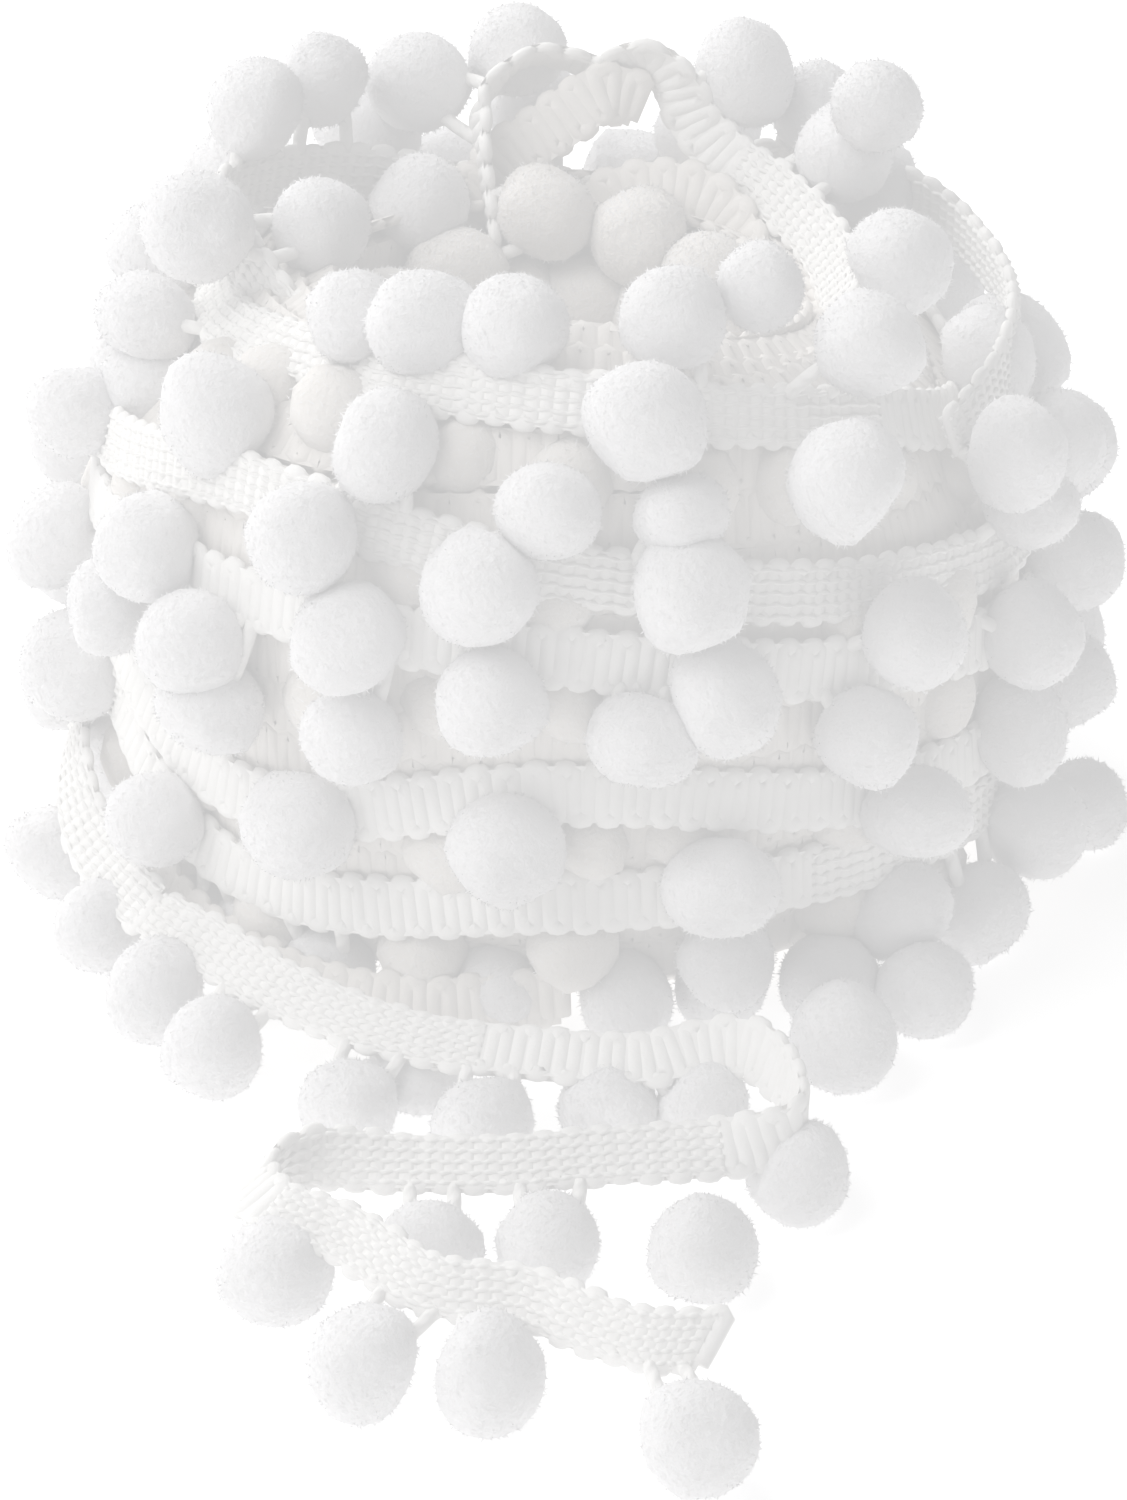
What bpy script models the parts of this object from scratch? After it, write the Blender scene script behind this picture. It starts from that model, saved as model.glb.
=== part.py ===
"""Pompom fringe trim, wound in a loose ball, with its loose end folded back and forth in front.

The ball is one solid: a hollow wound core, the turns of tape around it and the pompoms that stand on
it. The loose end is a second solid: its tape, its pompoms and the two cords that hold each of them.

Metres, +Z up. The tables are in millimetres and degrees, and are measured from the ball's axis at the
surface that it stands on: X to the right, Y away from the loose end. An azimuth is counted from X,
counter-clockwise from above. BALL_AXIS then puts the origin at the middle of the whole part's base.
"""

import math
import random
from collections import namedtuple

import bmesh
import bpy
from mathutils import Vector

MM = 0.001
SEED = 7

# Where the ball's axis stands, seen from the middle of the part's base
BALL_AXIS = (-0.8, 60.9)

# The trim
TAPE_WIDTH = 12.0
TAPE_THICKNESS = 2.6
CORD_ACROSS = 2.4
POMPOM_ACROSS = 19.5
POMPOM_VARIES = 0.06
BALL_POMPOM_SIDES = 6
END_POMPOM_SIDES = 8
POMPOM_RINGS = (-60, -15, 30, 68)

# How things meet: cords end inside the tape and the core, and a small gap parts the two solids
CORD_DROP = TAPE_WIDTH / 3
ROOT_DEPTH = 3.0
LEAST_SINK = 1.5
NODE_GAP = 0.3

# How the ball is wound, from below: each turn's middle and how far its upper edge leans inwards, with
# eight values right round: right, right back, back, left back, left, left front, front, right front.
# A valley parts two turns, and a turn's band takes up at most a share of the way to the next.
Turn = namedtuple("Turn", "name heights radii leans")
TURNS = (
    Turn("lower", (19, 24, 33, 42, 50, 25, 33, 29), (87, 87, 87, 87, 87, 87, 87, 87),
         (0, 0, 0, 0, 5, 10, 15, 10)),
    Turn("waist", (34, 40, 48, 55, 62, 42, 56, 42), (87, 87, 87, 87, 87, 87, 87, 87),
         (0, 0, 0, 0, 5, 10, 22, 12)),
    Turn("belt", (50, 56, 64, 68, 72, 82, 83, 68), (87, 87, 87, 87, 87, 85, 85, 86),
         (5, 5, 5, 5, 8, 15, 15, 12)),
    Turn("upper", (66, 72, 80, 84, 84, 102, 97, 82), (85, 85, 84, 84, 85, 80, 80, 82),
         (15, 10, 10, 10, 15, 20, 20, 18)),
    Turn("shoulder", (88, 92, 98, 104, 108, 119, 124, 111), (74, 74, 70, 66, 64, 60, 66, 69),
         (30, 30, 30, 35, 50, 50, 32, 30)),
)
VALLEY = 4.0
BAND_SHARE = 0.42

# The turn of tape that stands on the rim, with its small arch and hump at the back
RIM_TURN = Turn("rim", (110, 114, 129, 126, 129, 126, 124, 121), (52, 52, 56, 58, 62, 56, 51, 50),
                (20, 25, 31, 20, 10, 30, 30, 20))
Bump = namedtuple("Bump", "azimuth rise spread")
RIM_BUMPS = (Bump(63, -8, 5), Bump(76, 3, 5), Bump(110, -5, 7))
RIM_START = 15
RIM_STEPS = 28

# The wound core under the turns, right round: its height, and its outline below and above the turns
CORE_TOPS = (108, 108, 107, 111, 118, 125, 130, 119)
CORE_SIDES = 30
Outline = namedtuple("Outline", "radius height")
CORE_FOOT = (Outline(66, 0), Outline(79, 8))
CORE_RIM = 54
CORE_INSIDE = (Outline(46, -4), Outline(40, -20))
CORE_HOLE = (Outline(38, 40), Outline(42, 0))

# The last turn's tape, from inside the core to the floor beside the ball
Leaving = namedtuple("Leaving", "azimuth radius height lean")
LEAVING = (
    Leaving(140, 84, 27, 0), Leaving(160, 87.5, 30, 5), Leaving(178, 90, 31, 12),
    Leaving(190, 91.5, 29, 20),
)

# The pompoms: each row's distance from the axis, those that show in front as (azimuth, height, across),
# and the plain stretch behind
Row = namedtuple("Row", "name reach shown behind")
Behind = namedtuple("Behind", "first last count height")
Stray = namedtuple("Stray", "azimuth reach height")
STRAY = Stray(2, 1, 3)
ROWS = (
    Row("rim", 66, ((133, 128, 17.5), (150, 130, 18.5), (115, 121, 19.5), (98, 125, 19), (59, 125, 19.5),
                    (30, 130, 17), (38, 117, 19.5)), None),
    Row("rim, outside", 78, ((53, 114, 17), (41, 103, 17)), Behind(72, 164, 5, 107)),
    Row("rim, front", 57, ((307, 136, 16), (289, 134, 19.3), (261, 133, 19), (244, 131, 19),
                           (228, 128, 16.5)), None),
    Row("rim, inside", 45, ((127, 108, 18.5), (176, 121, 18)), None),
    Row("shoulder", 67, ((333, 132, 19.2), (187, 127, 20.5)), None),
    Row("upper", 77, ((183, 107, 17.5), (183, 93, 20), (216, 109, 21.5), (280, 126, 21), (313, 130, 19),
                      (357, 98, 18.6), (245, 117, 20)), None),
    Row("upper, low", 84, ((268, 112, 18.5), (284, 110, 16)), Behind(12, 150, 7, 88)),
    Row("middle", 90, ((184, 88, 18.5), (213, 85, 19.7), (239, 103, 19.6), (260, 99, 21), (284, 99, 20.3),
                       (303, 113, 21), (333, 98, 19.7), (356, 82, 18.5), (338, 84, 17)), None),
    Row("belt", 94, ((184, 62, 19.2), (224, 74, 20), (245, 87, 20), (262, 79, 19.6), (287, 78, 20),
                     (311, 80, 19.2), (334, 61, 19), (356, 56, 19.3), (208, 69, 17)),
        Behind(14, 166, 9, 66)),
    Row("waist", 93.5, ((194, 43, 20), (227, 63, 18.6), (246, 67, 18), (278, 70, 18), (305, 62, 18.2),
                        (333, 41, 18.3), (355, 32, 18)), Behind(6, 172, 10, 44)),
    Row("lower", 94, ((217, 31, 17.5), (239, 45, 20.4), (263, 48, 20.2), (287, 38, 20.3), (312, 41, 19.1),
                      (336, 18, 19.8)), Behind(14, 178, 9, 22)),
    Row("foot", 88, ((313, 17, 19.7), (289, 18, 18)), None),
)

# The pompoms that lie on the floor: under the ball, beside the tape that leaves it, and at the loose end
Place = namedtuple("Place", "x y across")
LEAVING_POMPOMS = (Place(-94, -32, 18), Place(-85.5, -56.5, 17.5))
FOOT_POMPOMS = (
    Place(-25.5, -75, 17), Place(-12, -78.5, 19),
    Place(10.5, -82, 18.5), Place(28, -73.5, 18), Place(47.5, -74.5, 18), Place(50, -96.5, 19.5),
    Place(64.5, -78.5, 18), Place(76, -53, 18.5), Place(97, -15, 17), Place(86, 16, 18),
    Place(72, 48, 18), Place(44, 73, 18), Place(10, 85, 18), Place(-26, 81, 18), Place(-57, 64, 18),
    Place(-78, 36, 18), Place(-85, 2, 18),
)
END_POMPOMS = (
    Place(-74.5, -79, 18.5), Place(-63.5, -97.5, 18.5), Place(-39.5, -115.5, 18), Place(-27, -103, 16),
    Place(-15.3, -123.3, 19), Place(6.8, -115.5, 17), Place(23.5, -115.5, 17), Place(40, -136, 18.5),
    Place(23.5, -162, 19.5), Place(-3, -159, 18.5), Place(-23.5, -160, 18), Place(-50, -167, 19.5),
    Place(-35, -192.5, 19.5), Place(-13.5, -197, 19.5), Place(22, -216, 20.5),
)

# The loose end's tape, a row for each bend, from where it leaves the ball to its cut end
Bend = namedtuple("Bend", "x y height lean")
LOOSE_END = (
    Bend(-91, -29, 24, 30), Bend(-87, -44.5, 18, 45), Bend(-76, -63.4, 16, 50), Bend(-64.6, -75.5, 16, 50),
    Bend(-49.6, -91, 16, 50), Bend(-26, -105.5, 16, 50), Bend(9.4, -112, 16, 50), Bend(24, -110, 17, 45),
    Bend(33, -112, 18, 30), Bend(39, -122, 18, 15), Bend(41, -134, 18, 0), Bend(35, -138.5, 17, -20),
    Bend(23, -140, 16, -50), Bend(5.8, -142, 16, -50), Bend(-12, -144.5, 16, -50),
    Bend(-30, -144, 16, -50), Bend(-44, -143.5, 17, -22), Bend(-51.5, -149.5, 16, 0),
    Bend(-45, -158, 16, 22), Bend(-34, -166, 16, 50), Bend(-24, -180, 16, 50), Bend(-8, -183.5, 16, 50),
    Bend(2.2, -190.5, 16, 50), Bend(14, -196.5, 16, 50), Bend(29.5, -196, 16, 50),
)
END_STEP = 5.0
CUT_AZIMUTH = 220.5

# White yarn
WOUND_COLOUR = (0.86, 0.85, 0.83)
LOOSE_COLOUR = (0.87, 0.86, 0.84)
ROUGHNESS = 0.9
SHEEN = 0.5


def between(values, at):
    """A smooth value between those of a list, at a place counted in steps of the list."""
    last = len(values) - 1
    first = min(max(int(math.floor(at)), 0), last - 1)
    share = min(max(at - first, 0.0), 1.0)
    before, start, end, after = (values[min(max(first + k, 0), last)] for k in (-1, 0, 1, 2))
    slope_in = (end - before) / 2
    slope_out = (after - start) / 2
    square = share * share
    cube = square * share
    return (start * (2 * cube - 3 * square + 1) + slope_in * (cube - 2 * square + share)
            + end * (3 * square - 2 * cube) + slope_out * (cube - square))


def around(values, azimuth):
    """A smooth value at an azimuth, from eight values right round."""
    wrapped = (values[-1],) + tuple(values) + tuple(values[:2])
    return between(wrapped, (azimuth % 360) / 360 * len(values) + 1)


def polar(azimuth, radius, height):
    angle = math.radians(azimuth)
    return Vector((radius * math.cos(angle), radius * math.sin(angle), height))


def turn_station(turn, azimuth):
    """The middle of a turn's tape and its lean, at an azimuth."""
    middle = polar(azimuth, around(turn.radii, azimuth), around(turn.heights, azimuth))
    return middle, around(turn.leans, azimuth)


def rim_path():
    """The stations of the tape that stands on the rim, once round."""
    stations = []
    for k in range(RIM_STEPS + 1):
        azimuth = RIM_START + 360 * k / RIM_STEPS
        middle, lean = turn_station(RIM_TURN, azimuth)
        for bump in RIM_BUMPS:
            middle.z += bump.rise * math.exp(-(((azimuth % 360 - bump.azimuth) / bump.spread) ** 2))
        stations.append((middle, lean))
    return stations


def last_path():
    """The stations of the last stretch, from inside the core to the cut end."""
    bends = [(polar(row.azimuth, row.radius, row.height), row.lean) for row in LEAVING]
    bends += [(Vector((b.x, b.y, b.height)), b.lean) for b in LOOSE_END]
    columns = [[place[k] for place, _ in bends] for k in range(3)] + [[lean for _, lean in bends]]
    stations = []
    for start in range(len(bends) - 1):
        length = (bends[start + 1][0] - bends[start][0]).length
        steps = max(2, round(length / END_STEP))
        for k in range(steps):
            x, y, z, lean = (between(column, start + k / steps) for column in columns)
            stations.append((Vector((x, y, z)), lean))
    stations.append(bends[-1])
    return stations


def split_path():
    """The last stretch in two, on the ball and loose. A small gap parts them."""
    path = last_path()
    cut = next(k for k, (place, _) in enumerate(path)
               if math.degrees(math.atan2(place.y, place.x)) % 360 > CUT_AZIMUTH)
    before, after = path[cut - 1], path[cut]
    way = (after[0] - before[0]).normalized()
    middle = (before[0] + after[0]) / 2
    lean = (before[1] + after[1]) / 2
    on_ball = path[:cut - 1] + [(middle - way * NODE_GAP / 2, lean)]
    off_ball = [(middle + way * NODE_GAP / 2, lean)] + path[cut + 1:]
    return on_ball, off_ball, way


def tape_axes(path, k, ends=(None, None)):
    """The directions along, across and through the tape at a station. Each end may have its own."""
    along = (path[min(k + 1, len(path) - 1)][0] - path[max(k - 1, 0)][0]).normalized()
    if k in (0, len(path) - 1):
        along = ends[0 if k == 0 else 1] or along
    side = Vector((0, 0, 1)).cross(along).normalized()
    up = along.cross(side)
    lean = math.radians(path[k][1])
    across = up * math.cos(lean) + side * math.sin(lean)
    return along, across, across.cross(along)


def add_tape(shape, path, ends=(None, None)):
    """A closed strip along the path."""
    sections = []
    for k, (place, _) in enumerate(path):
        _, across, through = tape_axes(path, k, ends)
        wide, thick = across * TAPE_WIDTH / 2, through * TAPE_THICKNESS / 2
        corners = (-wide - thick, wide - thick, wide + thick, -wide + thick)
        sections.append([shape.verts.new(place + corner) for corner in corners])
    for start, end in zip(sections, sections[1:]):
        for k in range(4):
            shape.faces.new((start[k], start[(k + 1) % 4], end[(k + 1) % 4], end[k]))
    shape.faces.new(sections[0][::-1])
    shape.faces.new(sections[-1])


def add_pompom(shape, centre, across, outwards, turn, sides=BALL_POMPOM_SIDES):
    """A ball of a few flat facets, with one of them turned away from outwards."""
    radius = across / 2
    aside = outwards.orthogonal().normalized()
    other = outwards.cross(aside)
    rings = []
    for latitude in POMPOM_RINGS:
        rise = math.sin(math.radians(latitude)) * radius
        spread = math.cos(math.radians(latitude)) * radius
        ring = []
        for k in range(sides):
            angle = turn + 2 * math.pi * k / sides
            flat = aside * math.cos(angle) + other * math.sin(angle)
            ring.append(shape.verts.new(centre + outwards * rise + flat * spread))
        rings.append(ring)
        turn += math.pi / sides
    for low, high in zip(rings, rings[1:]):
        for k in range(sides):
            nxt = (k + 1) % sides
            shape.faces.new((low[k], low[nxt], high[k]))
            shape.faces.new((low[nxt], high[nxt], high[k]))
    shape.faces.new(rings[0][::-1])
    shape.faces.new(rings[-1])


def add_cord(shape, start, end):
    """A cord of four sides from one point to another."""
    way = (end - start).normalized()
    aside = way.orthogonal().normalized() * CORD_ACROSS / 2
    other = way.cross(aside)
    ends = [[shape.verts.new(place + offset) for offset in (aside, other, -aside, -other)]
            for place in (start, end)]
    for k in range(4):
        shape.faces.new((ends[0][k], ends[0][(k + 1) % 4], ends[1][(k + 1) % 4], ends[1][k]))
    shape.faces.new(ends[0][::-1])
    shape.faces.new(ends[1])


def add_pompom_cords(shape, centre, path):
    """The two cords that hold a pompom on the lower edge of the tape near it."""
    edges = [place - tape_axes(path, k)[1] * CORD_DROP for k, (place, _) in enumerate(path)]
    nearest = min(range(2, len(edges) - 2), key=lambda k: (edges[k] - centre).length)
    for k in (nearest - 1, nearest + 1):
        add_cord(shape, centre, edges[k])


def band_edges(azimuth):
    """The lower and upper edge of each turn's band at an azimuth, as (radius, height), from below."""
    middles = [around(turn.heights, azimuth) for turn in TURNS]
    edges = []
    for k, turn in enumerate(TURNS):
        lean = math.radians(around(turn.leans, azimuth))
        room = min(abs(middles[k] - middles[j]) for j in (k - 1, k + 1) if 0 <= j < len(TURNS))
        rise = min(TAPE_WIDTH / 2 * math.cos(lean), BAND_SHARE * room)
        slant = rise * math.tan(lean)
        radius = around(turn.radii, azimuth)
        edges.append(((radius + slant, middles[k] - rise), (radius - slant, middles[k] + rise)))
    return edges


def core_outside(azimuth):
    """The outside of the core at an azimuth, from the floor to the rim."""
    outline = [tuple(point) for point in CORE_FOOT]
    for low, high in band_edges(azimuth):
        if len(outline) > len(CORE_FOOT):
            below = outline[-1]
            outline.append((min(below[0], low[0]) - VALLEY, (below[1] + low[1]) / 2))
        outline += [low, high]
    return outline + [(CORE_RIM, around(CORE_TOPS, azimuth))]


def add_root(shape, centre, azimuth):
    """A cord from a pompom that stands off the ball into the core beside it."""
    height = max(centre.z, CORE_FOOT[-1].height)
    inner = polar(azimuth, core_radius(azimuth, height) - ROOT_DEPTH, height)
    if centre.z > around(CORE_TOPS, azimuth):
        inner = polar(azimuth, CORE_RIM - ROOT_DEPTH, around(CORE_TOPS, azimuth) - ROOT_DEPTH)
    add_cord(shape, centre, inner)


def core_outline(azimuth):
    """The core's closed outline at an azimuth."""
    top = around(CORE_TOPS, azimuth)
    inside = [(point.radius, top + point.height) for point in CORE_INSIDE]
    return core_outside(azimuth) + inside + [tuple(point) for point in CORE_HOLE]


def core_radius(azimuth, height):
    """The radius of the core's outside at a height."""
    outside = core_outside(azimuth)
    for low, high in zip(outside, outside[1:]):
        if height <= high[1]:
            share = (height - low[1]) / (high[1] - low[1])
            return low[0] + (high[0] - low[0]) * share
    return CORE_RIM


def add_core(shape):
    """The hollow wound core, with each turn as a band around it."""
    rings = []
    for side in range(CORE_SIDES):
        azimuth = 360 * side / CORE_SIDES
        rings.append([shape.verts.new(polar(azimuth, radius, height))
                      for radius, height in core_outline(azimuth)])
    for side in range(CORE_SIDES):
        ring, following = rings[side], rings[(side + 1) % CORE_SIDES]
        for k in range(len(ring)):
            nxt = (k + 1) % len(ring)
            shape.faces.new((ring[k], following[k], following[nxt], ring[nxt]))


def ball_pompoms():
    """Each pompom on the ball above the floor: its middle and its size."""
    dice = random.Random(SEED)
    for row in ROWS:
        for azimuth, height, across in row.shown:
            yield polar(azimuth, row.reach, height), across
        if row.behind is None:
            continue
        first, last, count, height = row.behind
        for k in range(count):
            azimuth = first + (last - first) * k / (count - 1) + dice.uniform(-1, 1) * STRAY.azimuth
            across = POMPOM_ACROSS * (1 + POMPOM_VARIES * dice.uniform(-1, 1))
            reach = row.reach + dice.uniform(-1, 1) * STRAY.reach
            yield polar(azimuth, reach, height + dice.uniform(-1, 1) * STRAY.height), across


def floor_height(across):
    """How high a pompom's middle is when its lowest facet lies on the floor."""
    return across / 2 * math.sin(math.radians(-POMPOM_RINGS[0]))


def add_ball_trim(shape, leaving, cut_way):
    """The tape that stands off the core and the pompoms on the ball."""
    add_tape(shape, rim_path())
    add_tape(shape, leaving, (None, cut_way))
    dice = random.Random(SEED)
    for centre, across in ball_pompoms():
        outwards = Vector((centre.x, centre.y, 0)).normalized()
        add_pompom(shape, centre, across, outwards, dice.uniform(0, 1))
        azimuth = math.degrees(math.atan2(centre.y, centre.x))
        if centre.xy.length - across / 2 > core_radius(azimuth, centre.z) - LEAST_SINK:
            add_root(shape, centre, azimuth)
    for centre in add_floor_pompoms(shape, FOOT_POMPOMS, dice, BALL_POMPOM_SIDES):
        add_root(shape, centre, math.degrees(math.atan2(centre.y, centre.x)))
    for centre in add_floor_pompoms(shape, LEAVING_POMPOMS, dice, END_POMPOM_SIDES):
        add_pompom_cords(shape, centre, leaving)


def add_floor_pompoms(shape, places, dice, sides):
    """Pompoms that lie level on the floor. Returns their middles."""
    middles = []
    for place in places:
        middles.append(Vector((place.x, place.y, floor_height(place.across))))
        add_pompom(shape, middles[-1], place.across, Vector((0, 0, 1)), dice.uniform(0, 1), sides)
    return middles


def as_object(name, shape):
    """The shape as an object, moved to the part's origin and scaled to metres."""
    bmesh.ops.recalc_face_normals(shape, faces=shape.faces)
    for vert in shape.verts:
        vert.co = (vert.co + Vector((*BALL_AXIS, 0))) * MM
    mesh = bpy.data.meshes.new(name)
    shape.to_mesh(mesh)
    shape.free()
    made = bpy.data.objects.new(name, mesh)
    bpy.context.scene.collection.objects.link(made)
    return made


def parts_of(shape):
    """The faces of a shape in groups that hang together."""
    left = set(shape.faces)
    while left:
        group, to_visit = set(), [left.pop()]
        while to_visit:
            face = to_visit.pop()
            group.add(face)
            for other in {f for edge in face.edges for f in edge.link_faces} & left:
                left.discard(other)
                to_visit.append(other)
        yield group


def fuse(body, trim):
    """Makes one solid of a body and its trim, with no sealed pocket inside."""
    union = body.modifiers.new("fused trim", "BOOLEAN")
    union.operation = "UNION"
    union.solver = "EXACT"
    union.use_self = True
    union.object = trim
    seen = body.evaluated_get(bpy.context.evaluated_depsgraph_get())
    mesh = bpy.data.meshes.new_from_object(seen)
    body.modifiers.remove(union)
    bpy.data.objects.remove(trim)
    shape = bmesh.new()
    shape.from_mesh(mesh)
    groups = sorted(parts_of(shape), key=len)
    inner = [face for group in groups[:-1] for face in group]
    bmesh.ops.delete(shape, geom=inner, context="FACES")
    shape.to_mesh(mesh)
    shape.free()
    body.data = mesh


def white_yarn(name, colour):
    material = bpy.data.materials.new(name)
    material.use_nodes = True
    shader = material.node_tree.nodes["Principled BSDF"]
    shader.inputs["Base Color"].default_value = (*colour, 1)
    shader.inputs["Roughness"].default_value = ROUGHNESS
    shader.inputs["Sheen Weight"].default_value = SHEEN
    return material


def make_ball(path, cut_way):
    core = bmesh.new()
    add_core(core)
    body = as_object("wound_roll", core)
    trim = bmesh.new()
    add_ball_trim(trim, path, cut_way)
    fuse(body, as_object("wound_roll_trim", trim))
    body.data.materials.append(white_yarn("wound trim", WOUND_COLOUR))


def make_loose_end(path, cut_way):
    tape = bmesh.new()
    add_tape(tape, path, (cut_way, None))
    body = as_object("loose_end", tape)
    trim = bmesh.new()
    for centre in add_floor_pompoms(trim, END_POMPOMS, random.Random(SEED + 1), END_POMPOM_SIDES):
        add_pompom_cords(trim, centre, path)
    fuse(body, as_object("loose_end_trim", trim))
    body.data.materials.append(white_yarn("loose trim", LOOSE_COLOUR))


def main():
    for old in list(bpy.data.objects):
        bpy.data.objects.remove(old)
    on_ball, off_ball, cut_way = split_path()
    make_ball(on_ball, cut_way)
    make_loose_end(off_ball, cut_way)


main()
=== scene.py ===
"""The looks of a white pompom fringe trim: a loose wound ball, with its loose end folded in front.

The trim is a tape of thick cross ribs, one weft cord that turns back at both edges, with rows of
small stitches over it. Two short cords hold each pompom on an edge of the tape.

Tables are in millimetres and degrees and are measured from the ball's axis at the surface that it
stands on: X to the right, Y away from the loose end, azimuths counter-clockwise from above, from X.
BALL_AXIS moves them to the CAD model's own frame.
"""

import math
from collections import namedtuple

import bmesh
import bpy
import numpy as np
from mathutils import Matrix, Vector


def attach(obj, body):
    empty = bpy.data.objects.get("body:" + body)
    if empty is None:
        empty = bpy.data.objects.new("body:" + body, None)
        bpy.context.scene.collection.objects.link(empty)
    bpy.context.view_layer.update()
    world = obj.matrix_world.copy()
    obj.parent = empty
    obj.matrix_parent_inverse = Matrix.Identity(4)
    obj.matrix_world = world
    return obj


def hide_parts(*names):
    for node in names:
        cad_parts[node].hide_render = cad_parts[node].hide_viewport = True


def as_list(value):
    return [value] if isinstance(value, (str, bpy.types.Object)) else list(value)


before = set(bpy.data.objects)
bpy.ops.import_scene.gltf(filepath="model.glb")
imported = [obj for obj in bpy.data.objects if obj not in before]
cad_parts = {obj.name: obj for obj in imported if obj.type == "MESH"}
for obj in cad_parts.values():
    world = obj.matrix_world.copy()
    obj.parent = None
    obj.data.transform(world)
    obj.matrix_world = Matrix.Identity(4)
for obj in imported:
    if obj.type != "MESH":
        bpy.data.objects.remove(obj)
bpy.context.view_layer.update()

MM = 0.001
SEED = 11
UP = np.array((0.0, 0.0, 1.0))
BALL_AXIS = np.array((-0.8, 60.9, 0.0))

# The tape: one weft cord laid in ribs, with its turns past both edges, and stitches over the ribs
TAPE_WIDTH = 12.0
RIB_PITCH = 2.55
RIB_RADIUS = 1.8
RIB_FLAT = 0.66
RIB_HALF = 3.95
RIB_VARIES = 0.28
LOOP = ((0.12, 0.55), (0.5, 1.0), (0.88, 0.55))
PLAIN_LOOP = ((0.5, 0.9),)
LOOP_REACH = 0.4
GROUND_SHARE = 0.85
FILLING_LIFT = 0.82
FILLING_STEP = 2.6
GROUND_STEP = 1.35
STRIP_LINES = (-1, -0.33, 0.33, 1)
STITCH_ROWS = (-4.1, -2.05, 0.0, 2.05, 4.1)
STITCH_RADIUS = 0.48
STITCH_LIFT = -0.22
STITCH_WAVE = 0.26
STITCH_SWAY = 0.16

# Level of detail of a tape: steps across a rib, sides of the weft cord, steps of a stitch, its sides
Detail = namedtuple("Detail", "across loop sides stitch stitch_sides")
NEAR = Detail(6, LOOP, 10, 4, 6)
WOUND = Detail(5, LOOP, 8, 4, 4)
HIDDEN = Detail(2, PLAIN_LOOP, 6, 2, 4)

# The cords that hold a pompom
CORD_RADIUS = 1.3
CORD_SIDES = 8
CORD_STEPS = 7
CORD_INTO_POMPOM = 0.62
CORD_SPREAD = 5.0
CORD_SPREAD_VARIES = (0.6, 1.4)
CORD_APART = 2.0
CORD_LONGEST = 18.0
CORD_TWIST = 3.2
CORD_FROM_END = 1.5
CORD_BOWS = 0.8
CORD_RISES = 0.3

# The pompoms: soft lumps, small tufts and the pile's loose fibre ends
POMPOM_ACROSS = 19.5
POMPOM_VARIES = 0.06
STRETCH = 0.10
LUMPS = 12
LUMP_HEIGHT = 0.072
LUMP_SHARPNESS = 4.5
NIBS = 6
NIB_HEIGHTS = (0.0, 0.13)
NIB_SHARPNESS = 18
TUFTS = 160
TUFT_HEIGHT = 0.017
TUFT_SHARPNESS = 70
FIBRE_LENGTH = 1.6
FIBRE_HALF_WIDTH = 0.14
FIBRE_TILT = 2.0
FIBRE_ROOT = 0.985
FIBRE_STRAY = 0.02
FLOOR_SINK = 0.94
LOWEST = 0.15

# How the ball is wound, from below: each turn's middle and how far its upper edge leans inwards, with
# eight values right round: right, right back, back, left back, left, left front, front, right front
Turn = namedtuple("Turn", "name heights radii leans")
TURNS = (
    Turn("lower", (19, 24, 33, 42, 50, 25, 33, 29), (87, 87, 87, 87, 87, 87, 87, 87),
         (0, 0, 0, 0, 5, 10, 15, 10)),
    Turn("waist", (34, 40, 48, 55, 62, 42, 56, 42), (87, 87, 87, 87, 87, 87, 87, 87),
         (0, 0, 0, 0, 5, 10, 22, 12)),
    Turn("belt", (50, 56, 64, 68, 72, 82, 83, 68), (87, 87, 87, 87, 87, 85, 85, 86),
         (5, 5, 5, 5, 8, 15, 15, 12)),
    Turn("upper", (66, 72, 80, 84, 84, 102, 97, 82), (85, 85, 84, 84, 85, 80, 80, 82),
         (15, 10, 10, 10, 15, 20, 20, 18)),
    Turn("shoulder", (88, 92, 98, 104, 108, 119, 124, 111), (74, 74, 70, 66, 64, 60, 66, 69),
         (30, 30, 30, 35, 50, 50, 32, 30)),
)
# Where each turn passes to the next, behind the ball, and how far the first and the last are tucked in
PASSING = (20.0, 160.0)
TUCKED = (-12.0, -6.0)

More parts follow.
